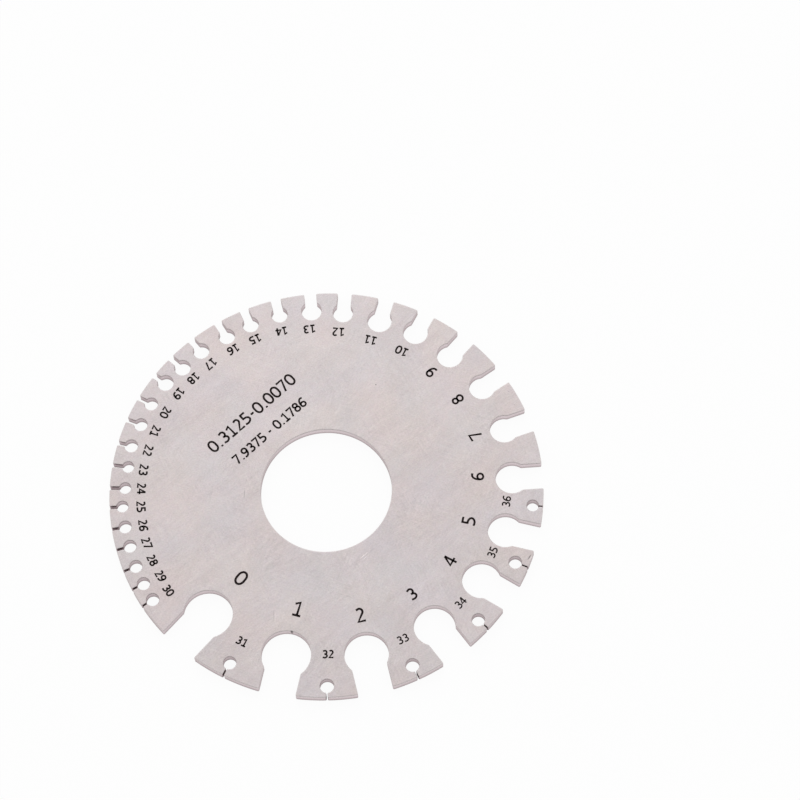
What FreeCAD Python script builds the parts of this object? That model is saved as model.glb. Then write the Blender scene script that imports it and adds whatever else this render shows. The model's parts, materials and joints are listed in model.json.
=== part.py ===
import FreeCAD, Part
import math
import os

# A round sheet and wire gauge, cut from one flat steel plate. Each gauge number has a keyhole notch
# in the rim: a slot as wide as that gauge is thick, which opens into a round relief hole behind it.
# The plate lies flat with its underside at z = 0 and the centre hole's axis on the Z axis.
# Angles are counterclockwise from +X, seen from above. All sizes are in millimetres.

# The plate. The edge break runs round every edge of the numbered top face, and on the underside
# round the rim and the centre hole, which the fingers meet.
PLATE_DIAMETER = 84.0
PLATE_THICKNESS = 2.0
CENTRE_HOLE_DIAMETER = 25.4
EDGE_BREAK = 0.2

# Slot widths follow the standard sheet gauge, in which a number stands for the weight of a square foot.
# The sheet of number 0 weighs 200 ounces, and a sheet one inch thick weighs 640 ounces.
MILLIMETRES_PER_INCH = 25.4
OUNCES_PER_INCH_OF_THICKNESS = 640.0
OUNCES_OF_GAUGE_0 = 200.0

# Ounces lost from one gauge number to the next, up to and including the last number of each run
OUNCE_STEPS = [
    (1, 20.0),
    (14, 10.0),
    (16, 5.0),
    (20, 4.0),
    (26, 2.0),
    (31, 1.0),
    (36, 0.5),
]

# Notches 0 to 30 follow each other counterclockwise round the rim from this angle
FIRST_NOTCH_ANGLE = -131.0

# One row for each of them: degrees to the next notch, diameter of the relief hole,
# and depth of the relief hole's centre in from the rim
RING_NOTCHES = [
    (29.3, 9.5, 8.4),
    (25.7, 9.5, 7.8),
    (23.4, 8.5, 7.7),
    (21.2, 8.0, 7.2),
    (17.9, 7.5, 6.8),
    (17.6, 6.8, 6.4),
    (16.3, 6.4, 6.0),
    (15.4, 5.6, 5.3),
    (14.4, 5.1, 4.9),
    (12.9, 5.1, 4.9),
    (11.6, 4.9, 4.5),
    (11.4, 4.8, 4.7),
    (9.4, 4.0, 4.2),
    (9.5, 4.0, 3.7),
    (9.0, 3.2, 3.4),
    (7.9, 3.2, 3.5),
    (8.7, 3.2, 3.6),
    (7.5, 3.2, 3.2),
    (6.7, 3.2, 3.3),
    (7.6, 3.2, 2.8),
    (7.0, 2.6, 2.9),
    (7.0, 2.6, 3.0),
    (6.5, 2.6, 2.7),
    (6.5, 2.3, 3.1),
    (5.6, 2.3, 3.0),
    (6.2, 2.3, 2.5),
    (6.0, 2.5, 2.6),
    (6.3, 2.5, 2.7),
    (5.6, 2.5, 2.5),
    (5.4, 2.5, 2.4),
    (14.5, 2.5, 2.3),
]

# Notches 31 to 36 stand on the lands between the wide notches 0 to 6. One row for each: degrees past
# the middle between those two, diameter of the relief hole, and depth of its centre in from the rim
LAND_NOTCHES = [
    (-0.2, 2.5, 2.7),
    (0.2, 2.7, 2.3),
    (-0.1, 2.6, 2.6),
    (0.0, 2.5, 2.4),
    (0.3, 2.5, 2.6),
    (0.1, 2.3, 2.0),
]

Z_AXIS = FreeCAD.Vector(0, 0, 1)
ORIGIN = FreeCAD.Vector(0, 0, 0)


def slot_widths():
    """The slot width of every gauge number, from 0 up."""
    ounces = OUNCES_OF_GAUGE_0
    widths = [ounces]
    for last_number, step in OUNCE_STEPS:
        while len(widths) <= last_number:
            ounces -= step
            widths.append(ounces)
    return [w / OUNCES_PER_INCH_OF_THICKNESS * MILLIMETRES_PER_INCH for w in widths]


def ring_angles():
    """The angles of the notches that follow each other round the rim."""
    angles = [FIRST_NOTCH_ANGLE]
    for pitch, _, _ in RING_NOTCHES[:-1]:
        angles.append(angles[-1] + pitch)
    return angles


def notch_table():
    """Angle, slot width, relief hole diameter and depth of its centre, for every gauge number."""
    widths = slot_widths()
    angles = ring_angles()
    rows = []
    for angle, (_, diameter, depth) in zip(angles, RING_NOTCHES):
        rows.append((angle, widths[len(rows)], diameter, depth))
    for before, after, (past, diameter, depth) in zip(angles, angles[1:], LAND_NOTCHES):
        rows.append(((before + after) / 2 + past, widths[len(rows)], diameter, depth))
    return rows


def turned(section):
    """A solid of revolution about the Z axis, from (radius, height) points."""
    points = [FreeCAD.Vector(radius, 0, height) for radius, height in section]
    face = Part.Face(Part.makePolygon(points + points[:1]))
    return face.revolve(ORIGIN, Z_AXIS, 360)


def plate_blank():
    """The plain disc with its centre hole, every edge broken."""
    rim = PLATE_DIAMETER / 2
    hole = CENTRE_HOLE_DIAMETER / 2
    top = PLATE_THICKNESS
    return turned([
        (hole + EDGE_BREAK, 0),
        (rim - EDGE_BREAK, 0),
        (rim, EDGE_BREAK),
        (rim, top - EDGE_BREAK),
        (rim - EDGE_BREAK, top),
        (hole + EDGE_BREAK, top),
        (hole, top - EDGE_BREAK),
        (hole, EDGE_BREAK),
    ])


def opening_flank(half_width):
    """One side of a cut, flared to break the top edge, from one plate thickness below to one above."""
    return [
        (half_width, -PLATE_THICKNESS),
        (half_width, PLATE_THICKNESS - EDGE_BREAK),
        (half_width + EDGE_BREAK + PLATE_THICKNESS, 2 * PLATE_THICKNESS),
    ]


def relief_hole(diameter):
    """The round end of a keyhole, as a cutting shape on the Z axis."""
    flank = opening_flank(diameter / 2)
    axis = [(0, 2 * PLATE_THICKNESS), (0, -PLATE_THICKNESS)]
    return turned(flank + axis)


def slot(width, length):
    """The straight neck of a keyhole, as a cutting shape from the Z axis out along +X."""
    flank = opening_flank(width / 2)
    outline = flank + [(-y, z) for y, z in reversed(flank)]
    points = [FreeCAD.Vector(0, y, z) for y, z in outline]
    face = Part.Face(Part.makePolygon(points + points[:1]))
    return face.extrude(FreeCAD.Vector(length, 0, 0))


def keyhole(angle, width, diameter, depth):
    """The whole notch as a cutting shape in its place, its slot run out one plate thickness past the rim."""
    cutter = relief_hole(diameter).fuse(slot(width, depth + PLATE_THICKNESS))
    cutter.translate(FreeCAD.Vector(PLATE_DIAMETER / 2 - depth, 0, 0))
    cutter.rotate(ORIGIN, Z_AXIS, angle)
    return cutter


def gauge_plate():
    """The finished plate with all its notches."""
    cutters = [keyhole(*row) for row in notch_table()]
    return plate_blank().cut(cutters)


os.makedirs("parts", exist_ok=True)
gauge_plate().exportStep("parts/gauge_plate.step")
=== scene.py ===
import json
import math

import bmesh
import bpy
from bpy.props import FloatProperty, FloatVectorProperty, IntProperty, PointerProperty
from mathutils import Matrix, Vector

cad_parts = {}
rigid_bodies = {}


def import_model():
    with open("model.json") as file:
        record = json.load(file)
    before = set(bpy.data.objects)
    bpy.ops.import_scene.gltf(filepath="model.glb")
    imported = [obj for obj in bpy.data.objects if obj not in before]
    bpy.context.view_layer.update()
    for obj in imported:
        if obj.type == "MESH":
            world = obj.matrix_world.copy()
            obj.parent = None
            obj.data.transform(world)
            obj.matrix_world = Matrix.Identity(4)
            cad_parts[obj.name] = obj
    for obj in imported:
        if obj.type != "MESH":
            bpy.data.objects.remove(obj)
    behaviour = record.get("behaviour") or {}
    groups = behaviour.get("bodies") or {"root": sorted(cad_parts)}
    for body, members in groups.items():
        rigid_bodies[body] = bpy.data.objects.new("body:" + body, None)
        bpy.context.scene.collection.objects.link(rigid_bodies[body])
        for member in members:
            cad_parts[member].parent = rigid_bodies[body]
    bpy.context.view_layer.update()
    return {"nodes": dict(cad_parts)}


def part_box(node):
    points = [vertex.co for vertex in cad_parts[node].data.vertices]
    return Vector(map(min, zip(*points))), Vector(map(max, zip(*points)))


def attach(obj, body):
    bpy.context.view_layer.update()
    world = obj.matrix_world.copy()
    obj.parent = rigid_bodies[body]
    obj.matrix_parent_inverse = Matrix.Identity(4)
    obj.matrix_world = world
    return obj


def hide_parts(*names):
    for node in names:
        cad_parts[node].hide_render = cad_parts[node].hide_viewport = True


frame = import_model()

bl_info = {
    "name": "Round Wire Gauge",
    "version": (1, 0, 0),
    "blender": (4, 5, 0),
    "location": "3D View > Sidebar > Wire Gauge",
    "description": "Makes the satin steel plate of a round wire gauge, its numbers and a studio stage",
    "category": "Add Mesh",
}

# The frame is in metres. The plate lies on z = 0 with the centre hole on the Z axis.
MM = 0.001
INCH = 25.4 * MM
NODE = "gauge_plate"
BODY = "root"
WHITE = (1.0, 1.0, 1.0, 1.0)

# Points nearer to each other than this are one point
WELD = 0.5e-6

# A face is level where its normal's rise is more than this
LEVEL = 0.9999

# How far the wall's section reaches in over both faces, in roundings of the foot
SECTION_REACH = 1.1

# Where each gauge number stands, from 0 up: distance of its middle from the plate's centre in
# millimetres, degrees counterclockwise past its notch, and lean in degrees, counterclockwise.
NUMBER_PLACES = [
    (24.1, -0.3, 3.5),
    (24.8, 0.4, -4.0),
    (26.5, 1.3, 0.0),
    (27.1, 0.8, 0.0),
    (28.0, 0.2, 3.0),
    (28.3, 0.5, 2.0),
    (29.4, 1.3, 0.0),
    (31.0, 1.1, 9.0),
    (31.7, 1.1, 0.0),
    (32.0, 0.9, 0.0),
    (32.7, 1.0, 0.0),
    (32.8, 1.0, 0.0),
    (33.6, 0.9, 0.0),
    (34.4, 1.1, 0.0),
    (35.0, 0.7, -4.0),
    (35.2, 0.6, 0.0),
    (35.3, 0.5, 0.0),
    (35.4, 0.5, 3.0),
    (35.5, 0.3, -3.0),
    (35.7, 0.5, -1.0),
    (35.7, 0.4, 0.0),
    (35.8, 0.4, 0.0),
    (35.8, 0.2, 0.0),
    (35.8, 0.3, 0.0),
    (35.8, 0.1, 1.0),
    (35.9, 0.5, 0.0),
    (35.9, 0.5, -2.0),
    (36.0, 0.5, 4.0),
    (36.1, 0.1, 4.0),
    (36.0, 0.3, 3.0),
    (36.2, 0.2, 2.0),
    (34.5, 0.1, 0.0),
    (33.4, 0.4, 0.0),
    (33.9, 0.9, 0.0),
    (34.8, 0.5, 0.0),
    (34.6, 0.4, 0.0),
    (34.9, 0.7, -3.0),
]

# Height of the numbers in millimetres, and how bold they are against the rest, up to and including
# the last gauge number of each run
NUMBER_SIZES = [
    (1, 3.07, 1.0),
    (2, 2.93, 1.0),
    (3, 2.45, 1.0),
    (5, 2.66, 1.0),
    (8, 2.43, 1.0),
    (9, 2.31, 1.0),
    (12, 1.75, 1.0),
    (27, 1.67, 1.0),
    (30, 1.59, 1.0),
    (32, 1.59, 0.94),
    (36, 1.59, 0.8),
]

# Strokes of the figures, in heights of a figure, about its middle. A pair is a point of the stroke's
# middle line. Six numbers are an arc: its centre, its two radii, and the degrees where it starts and ends.
FIGURES = {
    "0": [[(0, 0.10, 0.265, 0.34, 0, 180), (0, -0.10, 0.265, 0.34, 180, 360), (0.265, 0.10)]],
    "1": [[(-0.25, 0.28), (0.04, 0.43), (0.04, -0.44)], [(-0.26, -0.44), (0.27, -0.44)]],
    "2": [[(-0.19, 0.37), (0, 0.225, 0.20, 0.215, 115, -35), (-0.23, -0.44), (0.27, -0.44)]],
    "3": [
        [(-0.21, 0.385), (0.01, 0.225, 0.205, 0.215, 115, -90), (-0.07, 0.01)],
        [(-0.03, -0.215, 0.275, 0.225, 80, -115), (-0.27, -0.385)],
    ],
    "4": [[(0.11, -0.5), (0.11, 0.49)], [(0.09, 0.45), (-0.30, -0.21), (0.34, -0.21)]],
    "5": [[(0.23, 0.44), (-0.17, 0.44), (-0.18, 0.06), (-0.11, -0.19, 0.35, 0.25, 101, -125)]],
    "6": [[(0, -0.207, 0.25, 0.233, 180, 540)], [(0.15, -0.207, 0.40, 0.647, 180, 64)]],
    "7": [[(-0.30, 0.44), (0.26, 0.44), (-0.11, -0.5)]],
    "8": [[(0, 0.235, 0.22, 0.205, 270, 630)], [(0, -0.205, 0.255, 0.235, 90, 450)]],
    "9": [[(0, 0.195, 0.25, 0.245, 0, 360)], [(-0.15, 0.195, 0.40, 0.635, 0, -112)]],
    ".": [[(0, -0.5), (0, -0.36)]],
    "-": [[(-0.14, -0.06), (0.14, -0.06)]],
}

# Distance to the next character, in heights of a figure
FIGURE_ADVANCE = 0.74
ADVANCES = {".": 0.36, "-": 0.52, " ": 0.36}

# Longest turn of an arc between two of its points
ARC_DEGREES_PER_POINT = 15.0

# How far a stroke's outer corner may reach, in half widths of the stroke
LONGEST_MITRE = 1.35

# Brushing of the faces: its directions in degrees, each with the turn in radians of the patches where it
# shows. Then its lines and its patches, as rows like those below.
BRUSHINGS = [(28.0, 1.0), (47.0, 2.0), (75.0, 3.0), (118.0, 4.0), (162.0, 5.0)]
BRUSH_LINES = (3.2, 0.33, 3.0, 0.68)
BRUSH_PATCHES = (7.0, 5.0, 1.0, 0.5)

# How far the patches spread, how sharply they end, and how strong the brushing is between them
PATCH_SPREAD = 0.15
PATCH_CONTRAST = 2.2
BETWEEN_PATCHES = 0.1

# Soft patterns of the steel. One row for each: its turn in radians, length and width of its grain in
# millimetres, its levels of detail, and how strong the finer ones are.
PATTERNS = {
    "grit": (0.2, 0.34, 0.22, 3.0, 0.7),
    "fleck": (0.9, 0.9, 0.6, 3.0, 0.6),
    "speckle": (2.7, 1.1, 0.8, 3.0, 0.7),
    "cloud": (0.6, 3.4, 2.6, 3.0, 0.5),
    "streaks": (math.radians(42.0), 11.0, 2.0, 2.0, 0.5),
    "haze": (2.3, 11.0, 8.0, 2.0, 0.5),
    "bloom": (1.9, 10.0, 8.0, 3.0, 0.5),
    "stain": (1.1, 13.0, 10.0, 2.0, 0.5),
}

# How strongly each pattern shows in the faces
BRIGHTNESS = {"brushing": 0.95, "cloud": 0.15, "streaks": 0.28, "haze": 0.35, "grit": 1.1}
WARMTH = {"stain": 2.2, "fleck": 1.2}
GREENNESS = {"bloom": 3.0, "speckle": 5.0}
ROUGHNESS = {"brushing": 0.25, "cloud": 0.08}

# How much less rough the rounded edges and the walls are
POLISH = 0.1

# Marks of the cut on the walls: their size along X, Y and Z in millimetres, their brightness from dull
# to pale, how far they fray the painted shade lines, and their depth in depths of the brushing
CUT_SIZE = (0.12, 0.12, 4.0)
CUT_RANGE = (0.9, 1.1)
CUT_FRAY = 0.6
CUT_DEPTH = 2.0

# Darkness of the painted shade along the foot and under the lip of the walls, what the painted shade of
# narrow openings adds to the lip's, and how far from the rim that one ends, in millimetres
FOOT_DARKNESS = 0.42
LIP_DARKNESS = 0.24
SHADED_LIP_DARKNESS = 0.9
LIP_TO_RIM = 0.3

# How fast the painted shade grows as a slot or a relief hole gets narrower, and the most of it that a
# relief hole takes
SLOT_SHADE = 1.35
RELIEF_SHADE = 3.0
MOST_RELIEF_SHADE = 0.17

# Oxide of the marks: its grain in millimetres, its brightness from dull to pale, its roughness from
# smooth to rough, and its depth in millimetres
OXIDE_GRAIN = 0.12
OXIDE_RANGE = (0.5, 2.2)
OXIDE_ROUGHNESS = (0.5, 0.8)
OXIDE_DEPTH = 0.01

# Nicks and scratches of use. One row for each: X and Y of its middle, its direction in degrees, its
# length and width, all in millimetres, and how much darker or lighter than the steel it is.
WEAR = [
    (-6.0, -29.0, 10.0, 0.8, 0.75, -0.9),
    (9.3, 22.2, 0.0, 0.32, 0.30, -0.75),
    (7.5, -13.5, 42.0, 2.6, 0.18, 0.34),
    (7.8, -13.9, 44.0, 2.0, 0.16, 0.28),
    (-15.8, -0.7, 88.0, 2.4, 0.20, -0.30),
    (-15.5, -0.7, 88.0, 2.0, 0.16, 0.14),
    (-9.5, -25.8, 88.0, 4.0, 0.18, -0.16),
    (-9.1, -25.8, 88.0, 3.6, 0.16, 0.12),
    (35.3, 20.7, 0.0, 0.30, 0.26, -0.30),
    (36.4, 17.9, 0.0, 0.30, 0.26, -0.30),
    (39.2, -13.8, 58.0, 1.6, 0.28, -0.60),
    (39.45, -14.0, 58.0, 1.5, 0.24, 0.25),
]

# How far the wear reaches down the walls from the top face, in millimetres, how sharply it ends, and its
# depth in depths of the brushing
WEAR_REACH = 1.9
WEAR_SHARPNESS = 1.6
WEAR_DEPTH = 4.0

# Width of the camera's sensor, and gap between the floor and the underside, in millimetres
SENSOR_WIDTH = 36.0
FLOOR_GAP = 0.02


def a_length(name, description, millimetres):
    """A length that a user can change."""
    return FloatProperty(name=name, description=description, default=millimetres * MM, unit="LENGTH")


def an_angle(name, description, degrees):
    """An angle that a user can change."""
    return FloatProperty(
        name=name, description=description, default=math.radians(degrees), subtype="ANGLE", unit="ROTATION")


def a_colour(name, description, default):
    """A colour that a user can change."""
    return FloatVectorProperty(name=name, description=description, default=default, subtype="COLOR")


class StageSettings(bpy.types.PropertyGroup):
    """Where the camera stands, and the floor and the light."""

    aim: FloatVectorProperty(
        name="Aim", description="Point that the camera looks at",
        default=(14.07 * MM, 18.92 * MM, 2.0 * MM), subtype="XYZ", unit="LENGTH")
    distance: a_length("Distance", "From the camera to its aim", 635.8)
    turn: an_angle("Turn", "How far the camera stands to the right of straight in front", 4.34)
    elevation: an_angle("Elevation", "Height of the camera above the floor, as an angle at its aim", 66.71)
    roll: an_angle("Roll", "Turn of the camera about its own line of sight", -4.04)
    lens: FloatProperty(
        name="Lens", description="Focal length of the camera", default=146.4, unit="CAMERA")
    floor_colour: a_colour("Floor", "Colour of the floor", (0.9, 0.9, 0.9))
    floor_white: FloatProperty(
        name="White", description="Share of plain white in what the camera sees of the floor",
        default=0.93, min=0.0, max=1.0, subtype="FACTOR")
    mirrored_white: FloatProperty(
        name="Mirrored White", description="Share of plain white in what the steel mirrors of the floor",
        default=0.75, min=0.0, max=1.0, subtype="FACTOR")
    floor_size: a_length("Floor Size", "Length of one side of the floor", 4000.0)
    zenith_level: FloatProperty(
        name="Zenith", description="Strength of the light from straight above", default=0.86, min=0.0)
    far_level: FloatProperty(
        name="Far Side", description="Strength of the light from the walls behind and beside", default=1.2,
        min=0.0)
    near_level: FloatProperty(
        name="Near Side", description="Strength of the light from the wall behind the camera", default=0.15,
        min=0.0)
    lamp_power: FloatProperty(
        name="Lamp Power", description="Power of the large lamp in watts", default=1.5, min=0.0)
    lamp_size: a_length("Lamp Size", "Length of one side of the large lamp", 900.0)
    lamp_place: FloatVectorProperty(
        name="Lamp Place", description="Middle of the large lamp, which faces the plate",
        default=(-0.2, 0.9, 0.8), subtype="XYZ", unit="LENGTH")


class PlateSettings(bpy.types.PropertyGroup):
    """Finish of the plate, and how finely its round edges are divided."""

    edge_round: a_length("Edge Round", "Radius that the edges of the top face are rounded by", 0.16)
    foot_round: a_length("Foot Round", "Radius that the edges of the underside are rounded by", 0.21)
    corner_round: a_length("Corner Round", "Radius of the corners in the plate's outline", 0.24)
    relief_step: an_angle("Relief Step", "Arc between two points of a relief hole", 7.5)
    rim_step: an_angle("Rim Step", "Arc between two points of the rim or the centre hole", 1.5)
    round_points: IntProperty(
        name="Round Points", description="Steps across a rounded edge or corner", default=5, min=1)
    bright_colour: a_colour(
        "Bright Steel", "Colour of the faces where the brushing is brightest", (0.77, 0.705, 0.70))
    dull_colour: a_colour(
        "Dull Steel", "Colour of the faces where the brushing is dullest", (0.51, 0.465, 0.46))
    warm_colour: a_colour("Warm Tint", "Tint of the faces where they lean to straw", (1.0, 0.975, 0.958))
    cool_colour: a_colour("Cool Tint", "Tint of the faces where they lean to blue", (0.962, 0.985, 1.01))
    mauve_colour: a_colour("Mauve Tint", "Tint of the faces where they lean to mauve", (1.0, 0.982, 1.0))
    green_colour: a_colour("Green Tint", "Tint of the faces where they lean to green", (1.0, 1.006, 1.0))
    # Painted highlight: the rounded edges are brighter than the faces, and also less rough from handling
    edge_colour: a_colour(
        "Edge Highlight", "Colour of the rounded edges, polished by handling", (0.68, 0.63, 0.625))
    grazing_colour: a_colour(
        "Grazing Tint", "Tint of what the steel mirrors at a grazing angle", (0.60, 0.56, 0.55))
    cut_colour: a_colour(
        "Cut Steel", "Colour of the rim and the walls of the notches", (0.83, 0.738, 0.762))
    # Painted shade: colour of the dark lines on the walls and of the narrow openings
    grime_colour: a_colour(
        "Grime", "Colour of the dark lines and the grime on the walls", (0.10, 0.042, 0.055))
    # Painted shade darkens the slots and relief holes that are narrower than these
    clean_slot: a_length("Clean Slot", "Slots narrower than this hold grime", 0.95)
    clean_relief: a_length("Clean Relief", "Relief holes narrower than this are a little dark", 4.2)
    # The lines under the lip and along the foot are painted shade on the walls
    lip_depth: a_length("Lip Depth", "Depth of the dark line under the upper edge of the notches", 0.22)
    lip_width: a_length("Lip Width", "Half the width of that line", 0.18)
    burr_height: a_length("Burr", "Height of the dark line along the foot of the walls", 1.1)
    roughness: FloatProperty(
        name="Roughness", description="Roughness of the brushed faces", default=0.42, min=0.0, max=1.0)
    brush_depth: a_length("Brush Depth", "Depth of the brushing", 0.004)


class MarkSettings(bpy.types.PropertyGroup):
    """Size and colour of what is marked on the plate."""

    rise: a_length("Rise", "How far the marks stand above the plate's face", 0.01)
    sink: a_length("Sink", "How far the marks reach into the plate", 0.03)
    stroke: a_length("Stroke", "Width of a stroke in a very small figure", 0.235)
    weight: FloatProperty(
        name="Weight", description="What a stroke is wider for each unit of its figure's height",
        default=0.07, min=0.0)
    colour: a_colour("Mark", "Colour of the marks", (0.008, 0.004, 0.0035))
    sheen: FloatProperty(
        name="Sheen", description="Strength of the marks' plain mirroring", default=0.15, min=0.0, max=1.0)
    range_place: FloatVectorProperty(
        name="Range", description="Middle of the line with the widest and narrowest slot in inches",
        default=(-14.9 * MM, 16.2 * MM), size=2, unit="LENGTH")
    range_height: a_length("Range Height", "Height of that line's figures", 2.57)
    metric_place: FloatVectorProperty(
        name="Metric", description="Middle of the line with the same widths in millimetres",
        default=(-11.3 * MM, 12.4 * MM), size=2, unit="LENGTH")
    metric_height: a_length("Metric Height", "Height of that line's figures", 2.0)
    range_turn: an_angle("Range Turn", "Rise of both lines to the right", 44.2)


class Value:
    """What a node gives out. Arithmetic on a number adds the Math nodes that work it out."""

    def __init__(self, tree, socket):
        self.tree = tree
        self.socket = socket

    def math(self, operation, *others):
        """Adds a Math node whose first input is this number."""
        inputs = dict(enumerate((self, *others)))
        return self.tree.value("ShaderNodeMath", inputs, operation=operation)

    def __add__(self, other):
        return self.math("ADD", other)

    def __sub__(self, other):
        return self.math("SUBTRACT", other)

    def __mul__(self, other):
        return self.math("MULTIPLY", other)

    def __truediv__(self, other):
        return self.math("DIVIDE", other)

    def __neg__(self):
        return self.math("MULTIPLY", -1.0)

    def __rsub__(self, other):
        return self.math("MULTIPLY_ADD", -1.0, other)

    def limited(self):
        """This number, held between 0 and 1."""
        return self.math("MAXIMUM", 0.0).math("MINIMUM", 1.0)


class Tree:
    """A node tree in the making."""

    def __init__(self, node_tree):
        self.nodes = node_tree.nodes
        self.links = node_tree.links

    def plug(self, socket, source):
        """Links an output, or a node's first output, to an input, or sets the input to a plain value."""
        if isinstance(source, Value):
            source = source.socket
        if isinstance(source, bpy.types.Node):
            source = source.outputs[0]
        if isinstance(source, bpy.types.NodeSocket):
            self.links.new(source, socket)
        else:
            socket.default_value = source

    def add(self, kind, inputs=None, **settings):
        """Adds a node with its settings made and its inputs plugged, by name or by place."""
        node = self.nodes.new(kind)
        for name, setting in settings.items():
            setattr(node, name, setting)
        for key, source in (inputs or {}).items():
            self.plug(node.inputs[key], source)
        return node

    def value(self, kind, inputs=None, output=0, **settings):
        """Adds a node and returns one of its outputs as a number to reckon with."""
        return Value(self, self.add(kind, inputs, **settings).outputs[output])

    def point(self, x=0.0, y=0.0, z=0.0):
        """A vector from its three numbers."""
        return self.add("ShaderNodeCombineXYZ", {0: x, 1: y, 2: z})

    def axis(self, vector, number):
        """One of the three numbers of a vector."""
        return self.value("ShaderNodeSeparateXYZ", {0: vector}, output=number)

    def mix(self, share, first, second, blend_type="MIX"):
        """A colour between two others, or one laid over the other."""
        node = self.add("ShaderNodeMix", data_type="RGBA", blend_type=blend_type)
        for place, source in ((0, share), (6, first), (7, second)):
            self.plug(node.inputs[place], source)
        return node.outputs[2]


def geometry_tree(name, inputs):
    """A new Geometry Nodes tree with these inputs, and what they give out, by name."""
    group = bpy.data.node_groups.new(name, "GeometryNodeTree")
    for input_name, kind in [("Geometry", "Geometry"), *inputs]:
        group.interface.new_socket(input_name, in_out="INPUT", socket_type="NodeSocket" + kind)
    group.interface.new_socket("Geometry", in_out="OUTPUT", socket_type="NodeSocketGeometry")
    tree = Tree(group)
    return group, tree, {one.name: Value(tree, one) for one in tree.add("NodeGroupInput").outputs}


def finish_tree(tree, geometry, material):
    """Ends a tree with real geometry in one material."""
    real = tree.add("GeometryNodeRealizeInstances", {"Geometry": geometry})
    painted = tree.add("GeometryNodeSetMaterial", {"Geometry": real, "Material": material})
    tree.add("NodeGroupOutput", {"Geometry": painted})


def point_mesh(name, places, attributes):
    """A mesh of loose points that carries these lists of values, one for each point."""
    mesh = bpy.data.meshes.new(name)
    mesh.from_pydata(places, [], [])
    for attribute_name, (kind, values) in attributes.items():
        attribute = mesh.attributes.new(attribute_name, kind, "POINT")
        attribute.data.foreach_set("value", values)
    return mesh


def new_object(name, data):
    """A new object in the scene."""
    made = bpy.data.objects.new(name, data)
    bpy.context.scene.collection.objects.link(made)
    return made


def piece_from_tree(name, points, group, values, keep=None):
    """Runs a Geometry Nodes tree on a mesh of points, and returns its result as a plain mesh object.

    Of what the points carry, only the one attribute to keep stays on it.
    """
    maker = new_object(name + "_points", points)
    modifier = maker.modifiers.new(group.name, "NODES")
    modifier.node_group = group
    for item in group.interface.items_tree:
        if item.in_out == "INPUT" and item.name in values:
            modifier[item.identifier] = values[item.name]
    made = maker.evaluated_get(bpy.context.evaluated_depsgraph_get())
    mesh = bpy.data.meshes.new_from_object(made)
    maker.modifiers.remove(modifier)
    bpy.data.objects.remove(maker)
    if not mesh.polygons:
        raise RuntimeError(name + " came out empty")
    mesh.name = name
    mesh.materials.clear()
    mesh.materials.append(values["Material"])
    mesh.polygons.foreach_set("material_index", [0] * len(mesh.polygons))
    spare = [one.name for one in mesh.attributes if one.domain == "POINT" and not one.is_required]
    for attribute_name in set(spare) - {keep}:
        mesh.attributes.remove(mesh.attributes[attribute_name])
    return new_object(name, mesh)


class Notch:
    """One keyhole notch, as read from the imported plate."""

    def __init__(self, arc):
        first, middle, last = arc[0], arc[len(arc) // 2], arc[-1]
        axis = ((first + last) / 2).normalized()
        off_axis = (first - middle).dot(axis)
        self.half_width = (last - first).length / 2
        self.relief_centre = (first.length_squared - middle.length_squared) / (2 * off_axis)
        self.relief_radius = (first - axis * self.relief_centre).length
        self.angle = math.atan2(axis.y, axis.x)


def outline_of_plate():
    """The plate's outline below its broken top edge, as points in order, and its radius."""
    plate = bmesh.new()
    plate.from_mesh(frame["nodes"][NODE].data)
    bmesh.ops.remove_doubles(plate, verts=plate.verts, dist=WELD)
    rim = max(vertex.co.xy.length for vertex in plate.verts)
    on_rim = [vertex for vertex in plate.verts if vertex.co.xy.length > rim - WELD]
    start = max(on_rim, key=lambda vertex: vertex.co.z)

    def beside(vertex):
        """The neighbours of a point along the outline."""
        around = [edge.other_vert(vertex) for edge in vertex.link_edges]
        return [other for other in around if abs(other.co.z - start.co.z) < WELD]

    outline = [start]
    before, here = start, beside(start)[0]
    while here != start:
        outline.append(here)
        before, here = here, next(vertex for vertex in beside(here) if vertex != before)
    points = [vertex.co.xy.copy() for vertex in outline]
    plate.free()
    return points, rim


def read_notches():
    """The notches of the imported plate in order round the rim, each with its gauge number."""
    outline, rim = outline_of_plate()
    arcs = [[]]
    for point in outline:
        if point.length < rim - WELD:
            arcs[-1].append(point)
        elif arcs[-1]:
            arcs.append([])
    if not arcs[-1]:
        arcs.pop()
    notches = sorted((Notch(arc) for arc in arcs), key=lambda notch: -notch.half_width)
    if len(notches) != len(NUMBER_PLACES):
        raise RuntimeError(f"the plate has {len(notches)} notches, not {len(NUMBER_PLACES)}")
    for number, notch in enumerate(notches):
        notch.number = number
    return sorted(notches, key=lambda notch: notch.angle)


def named(tree, name):
    """A number that the points carry."""
    return tree.value("GeometryNodeInputNamedAttribute", {"Name": name}, data_type="FLOAT")


def turned_about_z(tree, x, y, angle):
    """A point in the plane, turned about the Z axis."""
    return tree.add("ShaderNodeVectorRotate", {0: tree.point(x, y), 3: angle}, rotation_type="Z_AXIS")


def pick(tree, place, choices):
    """The number that stands at this place in a row."""
    node = tree.add("GeometryNodeIndexSwitch", data_type="FLOAT")
    while len(node.index_switch_items) < len(choices):
        node.index_switch_items.new()
    for socket, source in zip(node.inputs, (place, *choices)):
        tree.plug(socket, source)
    return Value(tree, node.outputs[0])


def leg(longest, other):
    """The third side of a triangle with a right angle."""
    return ((longest * longest) - (other * other)).math("SQRT")


def narrowness(half_width, unshaded_width, growth):
    """How much narrower an opening is than one without painted shade: 0 where it is wider, and at most 1.
    """
    return ((1.0 - (half_width * 2.0 / unshaded_width)) * growth).limited()


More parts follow.
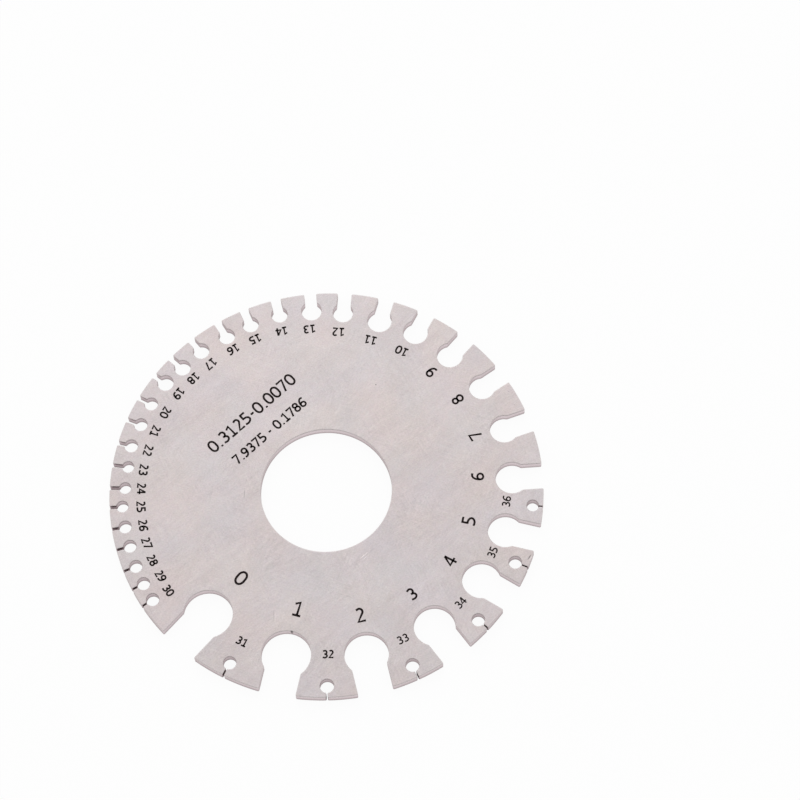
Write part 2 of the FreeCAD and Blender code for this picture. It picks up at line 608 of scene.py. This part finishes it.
def outline_points(tree, notches, sizes):
    """Points of the plate's outline in order, along six arcs for each notch."""
    rim = sizes["Rim Radius"]
    corner = sizes["Corner Round"]
    angle = named(tree, "angle")
    radius = named(tree, "relief_radius")
    centre = named(tree, "relief_centre")

    # Both corners of the slot's side are arcs whose centres stand this far off its middle line
    aside = named(tree, "half_width") + corner
    mouth = leg(rim - corner, aside)
    neck = centre + leg(radius + corner, aside)
    mouth_angle = aside.math("ARCTAN2", mouth)
    neck_angle = aside.math("ARCTAN2", neck - centre)

    # The land after the last notch ends a full turn on, at the first
    index = tree.value("GeometryNodeInputIndex")
    count = tree.value("GeometryNodeAttributeDomainSize", {0: notches}, component="MESH")
    following = (index + 1.0).math("MODULO", count)
    is_last = following.math("LESS_THAN", 0.5)
    land_end = tree.value(
        "GeometryNodeFieldAtIndex", {"Value": angle - mouth_angle, "Index": following}, data_type="FLOAT")
    kept = tree.add("GeometryNodeCaptureAttribute", {"Geometry": notches})
    kept.capture_items.new("FLOAT", "land")
    tree.plug(kept.inputs["land"], land_end + (is_last * math.tau) - angle - mouth_angle)
    land = Value(tree, kept.outputs["land"])

    # Each arc: X and Y of its centre from the plate's, with the notch on the X axis, then its radius,
    # where it starts, how far it sweeps, and the number of its steps. The plate lies on its left.
    quarter = math.tau / 4
    corner_steps = sizes["Round Points"]
    relief_sweep = (neck_angle * 2.0) - math.tau
    relief_steps = (-relief_sweep / sizes["Relief Step"]).math("CEIL")
    land_steps = (land / sizes["Rim Step"]).math("CEIL")
    arcs = [
        (mouth, -aside, corner, -mouth_angle, mouth_angle + quarter, corner_steps),
        (neck, -aside, corner, quarter, quarter - neck_angle, corner_steps),
        (centre, 0.0, radius, -neck_angle, relief_sweep, relief_steps),
        (neck, aside, corner, neck_angle - 2 * quarter, quarter - neck_angle, corner_steps),
        (mouth, aside, corner, -quarter, mouth_angle + quarter, corner_steps),
        (0.0, 0.0, rim, mouth_angle, land, land_steps),
    ]
    stretched = tree.add(
        "GeometryNodeDuplicateElements", {"Geometry": kept, "Amount": len(arcs)}, domain="POINT")
    which = stretched.outputs["Duplicate Index"]
    x, y, arc_radius, start, sweep, steps = (pick(tree, which, column) for column in zip(*arcs))

    # The relief hole and the land leave both their end points to the corner arcs beside them
    is_long = pick(tree, which, (0.0, 0.0, 1.0, 0.0, 0.0, 1.0))
    copies = tree.add("GeometryNodeDuplicateElements", {
        "Geometry": stretched, "Amount": steps - (is_long * 2.0) + 1.0}, domain="POINT")
    progress = (Value(tree, copies.outputs["Duplicate Index"]) + is_long) / steps
    turn = start + (sweep * progress)
    place = turned_about_z(
        tree, x + (arc_radius * turn.math("COSINE")), y + (arc_radius * turn.math("SINE")), angle)
    placed = tree.add("GeometryNodeSetPosition", {"Geometry": copies, "Position": place})

    # Painted shade fills the narrowest slots up to the rim, and dulls the smallest relief holes
    relief = narrowness(radius, sizes["Clean Relief"], RELIEF_SHADE) * MOST_RELIEF_SHADE
    slot = narrowness(named(tree, "half_width"), sizes["Clean Slot"], SLOT_SHADE)
    slot = slot.math("MAXIMUM", relief)
    grime = pick(tree, which, (slot * progress, slot, relief, slot, slot * (1.0 - progress), 0.0))
    return tree.add("GeometryNodeStoreNamedAttribute", {
        "Geometry": placed, "Name": "grime", "Value": grime}, data_type="FLOAT", domain="POINT")


def wall_section(tree, sizes):
    """The plate's section at an edge: a bracket with both corners rounded. X runs outwards and Y down."""
    foot = sizes["Foot Round"]
    is_foot = tree.value("GeometryNodeInputIndex").math("GREATER_THAN", 1.5)
    corner = (sizes["Edge Round"] * (1.0 - is_foot)) + (foot * is_foot)
    inset = foot * -SECTION_REACH
    up = -sizes["Thickness"]
    bracket = tree.add("GeometryNodeCurvePrimitiveQuadrilateral", {
        "Point 1": tree.point(inset, up), "Point 2": tree.point(0.0, up),
        "Point 3": tree.point(), "Point 4": tree.point(inset)}, mode="POINTS")
    opened = tree.add("GeometryNodeSetSplineCyclic", {"Geometry": bracket, "Cyclic": False})
    return tree.add("GeometryNodeFilletCurve", {
        "Curve": opened, "Count": sizes["Round Points"], "Radius": corner}, mode="POLY")


def plate_tree():
    """A plate of one thickness from its notches: an outline, a rounded wall along it, and two faces."""
    group, tree, sizes = geometry_tree("Keyhole Plate", [
        ("Rim Radius", "Float"), ("Hole Radius", "Float"), ("Thickness", "Float"),
        ("Edge Round", "Float"), ("Foot Round", "Float"), ("Corner Round", "Float"),
        ("Relief Step", "Float"), ("Rim Step", "Float"), ("Round Points", "Int"),
        ("Clean Slot", "Float"), ("Clean Relief", "Float"), ("Material", "Material")])
    points = tree.add("GeometryNodeMeshToPoints", {"Mesh": outline_points(tree, sizes["Geometry"], sizes)})
    order = tree.value("GeometryNodeInputIndex")
    joined = tree.add("GeometryNodePointsToCurves", {"Points": points, "Weight": order})
    outer = tree.add("GeometryNodeSetSplineCyclic", {"Geometry": joined, "Cyclic": True})

    # The hole runs the other way round, so that the steel lies on the same side of both outlines
    steps = sizes["Rim Step"].math("POWER", -1.0) * math.tau
    circle = tree.add("GeometryNodeCurvePrimitiveCircle", {
        "Resolution": steps, "Radius": sizes["Hole Radius"]}, mode="RADIUS")
    hole = tree.add("GeometryNodeReverseCurve", {"Curve": circle})
    outlines = tree.add("GeometryNodeJoinGeometry")
    tree.plug(outlines.inputs[0], hole)
    tree.plug(outlines.inputs[0], outer)
    upright = tree.add("GeometryNodeSetCurveNormal", {"Curve": outlines}, mode="Z_UP")
    wall = tree.add("GeometryNodeCurveToMesh", {
        "Curve": upright, "Profile Curve": wall_section(tree, sizes)})

    # Each face fills the open edge of the wall
    height = tree.axis(tree.add("GeometryNodeInputPosition"), 2)
    is_high = height.math("GREATER_THAN", sizes["Thickness"] / 2.0)
    is_open = tree.value("GeometryNodeInputMeshEdgeNeighbors").math("LESS_THAN", 1.5)
    brink = tree.add("GeometryNodeMeshToCurve", {"Mesh": wall, "Selection": is_high * is_open})
    face = tree.add("GeometryNodeFillCurve", {"Curve": brink}, mode="TRIANGLES")
    top = tree.add("GeometryNodeTransform", {
        "Geometry": face, "Translation": tree.point(z=sizes["Thickness"])})
    underside = tree.add("GeometryNodeFlipFaces", {"Mesh": face})

    parts = tree.add("GeometryNodeJoinGeometry")
    for part in (underside, top, wall):
        tree.plug(parts.inputs[0], part)
    welded = tree.add("GeometryNodeMergeByDistance", {"Geometry": parts, "Distance": WELD})
    rise = tree.axis(tree.add("GeometryNodeInputNormal"), 2).math("ABSOLUTE")
    shaded = tree.add("GeometryNodeSetShadeSmooth", {
        "Geometry": welded, "Shade Smooth": rise.math("LESS_THAN", LEVEL)})
    finish_tree(tree, shaded, sizes["Material"])
    return group


def stroke_line(stroke):
    """The points of a stroke's middle line, and whether it runs into itself."""
    line = []
    for part in stroke:
        if len(part) == 2:
            line.append(Vector(part))
            continue
        x, y, x_radius, y_radius, start, end = part
        steps = math.ceil(abs(end - start) / ARC_DEGREES_PER_POINT)
        for step in range(steps + 1):
            angle = math.radians(start + (end - start) * step / steps)
            line.append(Vector((x + x_radius * math.cos(angle), y + y_radius * math.sin(angle))))
    closed = (line[0] - line[-1]).length < 1e-6
    return (line[:-1] if closed else line), closed


def stroke_sides(line, closed, width):
    """The points on both sides of a stroke, mitred where it turns."""
    sides = []
    for place, point in enumerate(line):
        before = line[place - 1] if closed or place else None
        after = line[(place + 1) % len(line)] if closed or place < len(line) - 1 else None
        into = (point - before).normalized() if before else (after - point).normalized()
        out = (after - point).normalized() if after else into
        along = (into + out).normalized()
        reach = min(1 / along.dot(into), LONGEST_MITRE)
        across = Vector((-along.y, along.x)) * width / 2 * reach
        sides.append((point + across, point - across))
    return sides


def figure_object(name, character, height, width, marks):
    """One character of this height as a thin solid, in strokes of this width."""
    figure = bmesh.new()
    for stroke in FIGURES[character]:
        line, closed = stroke_line(stroke)
        line = [point * height for point in line]
        rings = []
        for left, right in stroke_sides(line, closed, width):
            corners = ((left, -marks.sink), (right, -marks.sink), (right, marks.rise), (left, marks.rise))
            rings.append([figure.verts.new((*corner, depth)) for corner, depth in corners])
        if not closed:
            figure.faces.new(rings[0])
            figure.faces.new(rings[-1])
        for first, second in zip(rings, rings[1:] + (rings[:1] if closed else [])):
            for side in range(4):
                ahead = (side + 1) % 4
                figure.faces.new((first[side], first[ahead], second[ahead], second[side]))
    bmesh.ops.recalc_face_normals(figure, faces=figure.faces)
    mesh = bpy.data.meshes.new(name)
    figure.to_mesh(mesh)
    figure.free()
    return bpy.data.objects.new(name, mesh)


def marks_tree():
    """Characters set in lines: one figure on each point, moved along its line and turned."""
    group, tree, sizes = geometry_tree("Marked Characters", [
        ("Figures", "Collection"), ("Material", "Material")])
    turn = named(tree, "turn")
    advance = turned_about_z(tree, named(tree, "shift"), 0.0, turn)
    placed = tree.add("GeometryNodeSetPosition", {"Geometry": sizes["Geometry"], "Offset": advance})
    figures = tree.add("GeometryNodeCollectionInfo", {
        "Collection": sizes["Figures"], "Separate Children": True, "Reset Children": True})
    which = tree.add("GeometryNodeInputNamedAttribute", {"Name": "figure"}, data_type="INT")
    stamped = tree.add("GeometryNodeInstanceOnPoints", {
        "Points": placed, "Instance": figures, "Pick Instance": True,
        "Instance Index": which, "Rotation": tree.point(z=turn)})
    finish_tree(tree, stamped, sizes["Material"])
    return group


def line_of_characters(text, x, y, turn, height, bold=1.0):
    """One row for each character that shows: itself, its distance along the line, and its line's place."""
    widths = [ADVANCES.get(character, FIGURE_ADVANCE) for character in text]
    start = -sum(widths) / 2
    rows = []
    for place, character in enumerate(text):
        if character in FIGURES:
            shift = (start + sum(widths[:place]) + widths[place] / 2) * height
            rows.append((character, shift, x, y, turn, height, bold))
    return rows


def marked_piece(name, rows, marks, material):
    """A piece made of marked characters on the plate's top face."""
    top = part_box(NODE)[1].z
    characters, shifts, xs, ys, turns, heights, bolds = zip(*rows)
    kinds = sorted(set(zip(characters, heights, bolds)))
    points = point_mesh(name, [(x, y, top) for x, y in zip(xs, ys)], {
        "figure": ("INT", [kinds.index(kind) for kind in zip(characters, heights, bolds)]),
        "shift": ("FLOAT", shifts), "turn": ("FLOAT", turns)})
    shelf = bpy.data.collections.new("Figures")
    bpy.context.scene.collection.children.link(shelf)
    for place, (character, height, bold) in enumerate(kinds):
        stroke = (marks.stroke + marks.weight * height) * bold
        shelf.objects.link(figure_object(f"figure_{place:03d}", character, height, stroke, marks))
    piece = piece_from_tree(name, points, marks_tree(), {"Figures": shelf, "Material": material})
    for figure in list(shelf.objects):
        bpy.data.objects.remove(figure)
    bpy.data.collections.remove(shelf)
    return piece


def object_place(tree, turn, size, middle=(0.0, 0.0, 0.0)):
    """The place on the piece from this middle, turned about Z and measured in this size on each axis."""
    place = tree.add("ShaderNodeTexCoord").outputs["Object"]
    return tree.add("ShaderNodeMapping", {
        "Vector": place, "Location": middle, "Rotation": (0.0, 0.0, turn), "Scale": size},
        vector_type="TEXTURE")


def noise(tree, place, detail=2.0, roughness=0.5):
    """Soft noise about one half, with one grain for each unit of the place."""
    return tree.value("ShaderNodeTexNoise", {
        "Vector": place, "Scale": 1.0, "Detail": detail, "Roughness": roughness})


def pattern(tree, turn, length, width, detail, roughness):
    """Soft noise about zero, with grains of this length and width in millimetres."""
    size = (length * MM, width * MM, length * MM)
    return noise(tree, object_place(tree, turn, size), detail, roughness) - 0.5


def brushing(tree):
    """Fine straight brushing in several directions, each strong in its own patches."""
    total = None
    for degrees, patch_turn in BRUSHINGS:
        lines = pattern(tree, math.radians(degrees), *BRUSH_LINES)
        patches = pattern(tree, patch_turn, *BRUSH_PATCHES)
        shown = ((patches + PATCH_SPREAD) * PATCH_CONTRAST).math("MAXIMUM", BETWEEN_PATCHES)
        part = lines * shown
        total = part if total is None else total + part
    return total


def blend(patterns, shares, middle=0.5):
    """The sum of these shares of the patterns, about a middle value."""
    total = middle
    for name, share in shares.items():
        total = (patterns[name] * share) + total
    return total


def wear(tree):
    """Nicks and scratches of use: 0 on plain steel, below it where they are dark, above it where light."""
    total = None
    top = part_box(NODE)[1].z
    for x, y, degrees, length, width, tone in WEAR:
        size = (length / 2 * MM, width / 2 * MM, WEAR_REACH * MM)
        place = object_place(tree, math.radians(degrees), size, (x * MM, y * MM, top))
        away = tree.value("ShaderNodeVectorMath", {0: place}, output=1, operation="LENGTH")
        part = ((1.0 - away) * WEAR_SHARPNESS).limited() * tone
        total = part if total is None else total + part
    return total


def rgba(colour, factor=1.0):
    """An opaque colour, made brighter or darker by a factor."""
    return [share * factor for share in colour] + [1.0]


def face_colour(tree, plate, patterns):
    """Colour of the flat faces: bright and dull, warm and cool, mauve and green by turns."""
    face = tree.mix(blend(patterns, BRIGHTNESS), rgba(plate.dull_colour), rgba(plate.bright_colour))
    tint = tree.mix(blend(patterns, WARMTH), rgba(plate.cool_colour), rgba(plate.warm_colour))
    face = tree.mix(1.0, face, tint, "MULTIPLY")
    tint = tree.mix(blend(patterns, GREENNESS), rgba(plate.mauve_colour), rgba(plate.green_colour))
    return tree.mix(1.0, face, tint, "MULTIPLY")


def wall_colour(tree, plate, cuts):
    """Colour of the rim and the notches' walls, with painted shade in dark lines under their lip and along
    their foot, and in narrow openings.
    """
    place = tree.add("ShaderNodeTexCoord").outputs["Object"]
    x, y, height = (tree.axis(place, number) for number in range(3))
    low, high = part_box(NODE)
    from_axis = ((x * x) + (y * y)).math("SQRT")
    on_rim = (((from_axis - high.x) / (LIP_TO_RIM * MM)) + 1.0).limited()
    fray = (cuts - 0.5) * CUT_FRAY
    # Painted shade, darkest at the foot of the walls and fading upwards
    foot = (1.0 - ((height - low.z) / plate.burr_height) + fray).limited()

    # The lip's painted shade line is full within a quarter of half its width, and gone at five quarters
    from_lip = (height - (high.z - plate.lip_depth)).math("ABSOLUTE") / plate.lip_width
    lip = (1.25 - from_lip + fray).limited() * (1.0 - on_rim)
    # Painted shade of the narrow slots and small relief holes, carried on the plate's points
    grime = tree.value("ShaderNodeAttribute", output=2, attribute_name="grime")
    # All of this darkness is painted shade, laid over the cut steel in the painted shade colour
    dark = (foot * FOOT_DARKNESS) + (lip * ((grime * SHADED_LIP_DARKNESS) + LIP_DARKNESS)) + grime
    dull, pale = (rgba(plate.cut_colour, factor) for factor in CUT_RANGE)
    return tree.mix(dark, tree.mix(cuts, dull, pale), rgba(plate.grime_colour))


def new_material(name):
    """A new material, its node tree and its shader."""
    material = bpy.data.materials.new(name)
    material.use_nodes = True
    tree = Tree(material.node_tree)
    return material, tree, tree.nodes["Principled BSDF"]


def add_bump(tree, shader, height, strength, depth):
    """Makes a shader follow fine relief."""
    bump = tree.add("ShaderNodeBump", {"Strength": strength, "Distance": depth, "Height": height})
    tree.plug(shader.inputs["Normal"], bump)


def steel_material(plate):
    """Satin stainless steel: brushed and slightly mottled faces, smooth edges with a painted highlight, and
    plainer cut walls with painted shade.
    """
    material, tree, shader = new_material("satin_steel")
    patterns = {name: pattern(tree, *row) for name, row in PATTERNS.items()}
    patterns["brushing"] = brushing(tree)
    cuts = noise(tree, object_place(tree, 0.0, [size * MM for size in CUT_SIZE]))

    # The normal's rise is 1 on the faces and 0 on the walls. The walls end where it reaches 0.3, and the
    # rounded edges, with their painted highlight, show most half way.
    rise = tree.axis(tree.add("ShaderNodeTexCoord").outputs["Normal"], 2).math("ABSOLUTE")
    wall = (1.2 - (rise * 4.0)).limited()
    edge = (rise * (1.0 - rise) * 5.0).limited()
    steel = tree.mix(edge, face_colour(tree, plate, patterns), rgba(plate.edge_colour))
    steel = tree.mix(wall, steel, wall_colour(tree, plate, cuts))
    worn = wear(tree)
    tree.plug(shader.inputs["Base Color"], tree.mix(1.0, steel, worn + 1.0, "MULTIPLY"))
    shader.inputs["Metallic"].default_value = 1.0
    shader.inputs["Specular Tint"].default_value = rgba(plate.grazing_colour)

    roughness = blend(patterns, ROUGHNESS, plate.roughness)
    tree.plug(shader.inputs["Roughness"], roughness - (edge * POLISH) - (wall * POLISH))
    relief = patterns["brushing"] + ((cuts - 0.5) * wall * CUT_DEPTH) + (worn * WEAR_DEPTH)
    add_bump(tree, shader, relief, strength=0.5, depth=plate.brush_depth)
    return material


def mark_material(marks):
    """Dark brown oxide of a marked figure, uneven and matt."""
    material, tree, shader = new_material("dark_marking")
    specks = noise(tree, object_place(tree, 0.3, [OXIDE_GRAIN * MM] * 3))
    dull, pale = (rgba(marks.colour, factor) for factor in OXIDE_RANGE)
    tree.plug(shader.inputs["Base Color"], tree.mix(specks, dull, pale))
    shader.inputs["Specular IOR Level"].default_value = marks.sheen
    smooth, rough = OXIDE_ROUGHNESS
    tree.plug(shader.inputs["Roughness"], (specks * (rough - smooth)) + smooth)
    add_bump(tree, shader, specks, strength=0.4, depth=OXIDE_DEPTH * MM)
    return material


def seen_directly(tree, rays):
    """A number that is 1 for the camera's own rays, and 0 for mirrored and scattered light."""
    return Value(tree, rays["Is Camera Ray"]).math("MAXIMUM", rays["Is Transmission Ray"])


def floor_material(stage):
    """A pale floor that shows nearly white to the camera and in the steel, and takes a soft shadow."""
    material, tree, shader = new_material("floor")
    shader.inputs["Base Color"].default_value = rgba(stage.floor_colour)
    shader.inputs["Roughness"].default_value = 0.9
    rays = tree.add("ShaderNodeLightPath").outputs
    mirrored = Value(tree, rays["Is Glossy Ray"]) * stage.mirrored_white
    share = (seen_directly(tree, rays) * stage.floor_white) + mirrored
    white = tree.add("ShaderNodeEmission", {"Color": WHITE, "Strength": 1.0})
    both = tree.add("ShaderNodeMixShader", {0: share, 1: shader, 2: white})
    tree.plug(tree.nodes["Material Output"].inputs["Surface"], both)
    return material


def studio_world(stage):
    """White light from all round, strongest from above and from the far side, and white to the camera."""
    world = bpy.data.worlds.new("studio")
    world.use_nodes = True
    tree = Tree(world.node_tree)
    direction = tree.add("ShaderNodeTexCoord").outputs["Generated"]
    rise = tree.axis(direction, 2).math("MAXIMUM", 0.0)

    # From 0 at -Y, behind the camera, to 1 a little past the sides
    far = ((tree.axis(direction, 1) + 1.0) * 0.8).math("MINIMUM", 1.0)
    sides = (far * (stage.far_level - stage.near_level)) + stage.near_level
    level = sides + ((stage.zenith_level - sides) * rise)
    seen = seen_directly(tree, tree.add("ShaderNodeLightPath").outputs)
    tree.nodes["Background"].inputs["Color"].default_value = WHITE
    tree.plug(tree.nodes["Background"].inputs["Strength"], level.math("MAXIMUM", seen))
    return world


class WIREGAUGE_OT_stage(bpy.types.Operator):
    """Sets up the floor, the light and the camera."""

    bl_idname = "wiregauge.stage"
    bl_label = "Stage"
    bl_options = {"REGISTER", "UNDO"}

    def execute(self, context):
        stage = context.scene.wiregauge_stage
        scene = context.scene
        scene.view_settings.view_transform = "Standard"

        half = stage.floor_size / 2
        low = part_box(NODE)[0].z - FLOOR_GAP * MM
        mesh = bpy.data.meshes.new("floor")
        mesh.from_pydata([(-half, -half, low), (half, -half, low), (half, half, low), (-half, half, low)],
                         [], [(0, 1, 2, 3)])
        mesh.materials.append(floor_material(stage))
        floor = new_object("floor", mesh)
        scene.world = studio_world(stage)

        lamp = bpy.data.lights.new("soft_lamp", "AREA")
        lamp.shape = "SQUARE"
        lamp.size = stage.lamp_size
        lamp.energy = stage.lamp_power
        place = Vector(stage.lamp_place)
        facing = place.to_track_quat("Z", "Y").to_matrix().to_4x4()
        new_object("soft_lamp", lamp).matrix_world = Matrix.Translation(place) @ facing

        data = bpy.data.cameras.new("camera")
        data.sensor_width = SENSOR_WIDTH
        data.lens = stage.lens
        data.clip_start = 10.0 * MM
        back = Vector((math.sin(stage.turn) * math.cos(stage.elevation),
                       -math.cos(stage.turn) * math.cos(stage.elevation), math.sin(stage.elevation)))
        look = back.to_track_quat("Z", "Y").to_matrix().to_4x4()
        scene.camera = new_object("camera", data)
        scene.camera.matrix_world = (Matrix.Translation(Vector(stage.aim) + back * stage.distance) @ look
                                     @ Matrix.Rotation(stage.roll, 4, "Z"))
        return {"FINISHED"}


class WIREGAUGE_OT_plate(bpy.types.Operator):
    """Makes the plate with its rim, centre hole and keyhole notches."""

    bl_idname = "wiregauge.plate"
    bl_label = "Plate"
    bl_options = {"REGISTER", "UNDO"}

    def execute(self, context):
        plate = context.scene.wiregauge_plate
        notches = read_notches()
        points = point_mesh("notches", [(0.0, 0.0, 0.0)] * len(notches), {
            name: ("FLOAT", [getattr(notch, name) for notch in notches])
            for name in ("angle", "half_width", "relief_radius", "relief_centre")})
        low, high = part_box(NODE)
        hole = min(vertex.co.xy.length for vertex in frame["nodes"][NODE].data.vertices)
        piece = piece_from_tree("steel_plate", points, plate_tree(), {
            "Rim Radius": high.x, "Hole Radius": hole, "Thickness": high.z - low.z,
            "Edge Round": plate.edge_round, "Foot Round": plate.foot_round,
            "Corner Round": plate.corner_round, "Relief Step": plate.relief_step,
            "Rim Step": plate.rim_step, "Round Points": plate.round_points,
            "Clean Slot": plate.clean_slot, "Clean Relief": plate.clean_relief,
            "Material": steel_material(plate)}, keep="grime")
        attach(piece, BODY)
        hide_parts(NODE)
        return {"FINISHED"}


class WIREGAUGE_OT_numbers(bpy.types.Operator):
    """Marks the gauge numbers, each inside its notch with its top towards the centre."""

    bl_idname = "wiregauge.numbers"
    bl_label = "Gauge Numbers"
    bl_options = {"REGISTER", "UNDO"}

    def execute(self, context):
        marks = context.scene.wiregauge_marks
        rows = []
        for notch in read_notches():
            distance, past, lean = NUMBER_PLACES[notch.number]
            height, bold = next(row[1:] for row in NUMBER_SIZES if notch.number <= row[0])
            angle = notch.angle + math.radians(past)
            x = distance * MM * math.cos(angle)
            y = distance * MM * math.sin(angle)
            turn = angle + math.radians(90.0 + lean)
            rows += line_of_characters(str(notch.number), x, y, turn, height * MM, bold)
        piece = marked_piece("gauge_numbers", rows, marks, mark_material(marks))
        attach(piece, BODY)
        return {"FINISHED"}


class WIREGAUGE_OT_range(bpy.types.Operator):
    """Marks the widest and narrowest slot on two lines, in inches and in millimetres."""

    bl_idname = "wiregauge.range"
    bl_label = "Slot Range"
    bl_options = {"REGISTER", "UNDO"}

    def execute(self, context):
        marks = context.scene.wiregauge_marks
        widths = sorted(notch.half_width * 2 for notch in read_notches())
        inches = [width / INCH for width in widths]
        millimetres = [width / MM for width in widths]
        rows = line_of_characters(
            f"{inches[-1]:.4f}-{inches[0]:.4f}", *marks.range_place, marks.range_turn, marks.range_height)
        rows += line_of_characters(
            f"{millimetres[-1]:.4f} - {millimetres[0]:.4f}",
            *marks.metric_place, marks.range_turn, marks.metric_height)
        piece = marked_piece("slot_range", rows, marks, mark_material(marks))
        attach(piece, BODY)
        return {"FINISHED"}


class WIREGAUGE_PT_sidebar(bpy.types.Panel):
    """Sizes and colours of the gauge, and its pieces in the order they are made."""

    bl_label = "Wire Gauge"
    bl_idname = "WIREGAUGE_PT_sidebar"
    bl_space_type = "VIEW_3D"
    bl_region_type = "UI"
    bl_category = "Wire Gauge"

    def draw(self, context):
        for settings_name in SETTINGS:
            group = getattr(context.scene, settings_name)
            column = self.layout.column(align=True)
            for name in group.__annotations__:
                column.prop(group, name)
        for operator in OPERATORS:
            self.layout.operator(operator.bl_idname)


SETTINGS = {
    "wiregauge_stage": StageSettings,
    "wiregauge_plate": PlateSettings,
    "wiregauge_marks": MarkSettings,
}
OPERATORS = (WIREGAUGE_OT_stage, WIREGAUGE_OT_plate, WIREGAUGE_OT_numbers, WIREGAUGE_OT_range)


def register():
    for settings_class in (*SETTINGS.values(), *OPERATORS, WIREGAUGE_PT_sidebar):
        bpy.utils.register_class(settings_class)
    for name, settings_class in SETTINGS.items():
        setattr(bpy.types.Scene, name, PointerProperty(type=settings_class))


def unregister():
    for name in SETTINGS:
        delattr(bpy.types.Scene, name)
    for settings_class in (WIREGAUGE_PT_sidebar, *reversed(OPERATORS), *SETTINGS.values()):
        bpy.utils.unregister_class(settings_class)


def main():
    """Makes the gauge and its stage."""
    register()
    bpy.ops.wiregauge.stage()
    bpy.ops.wiregauge.plate()
    bpy.ops.wiregauge.numbers()
    bpy.ops.wiregauge.range()


if __name__ == "__main__":
    main()
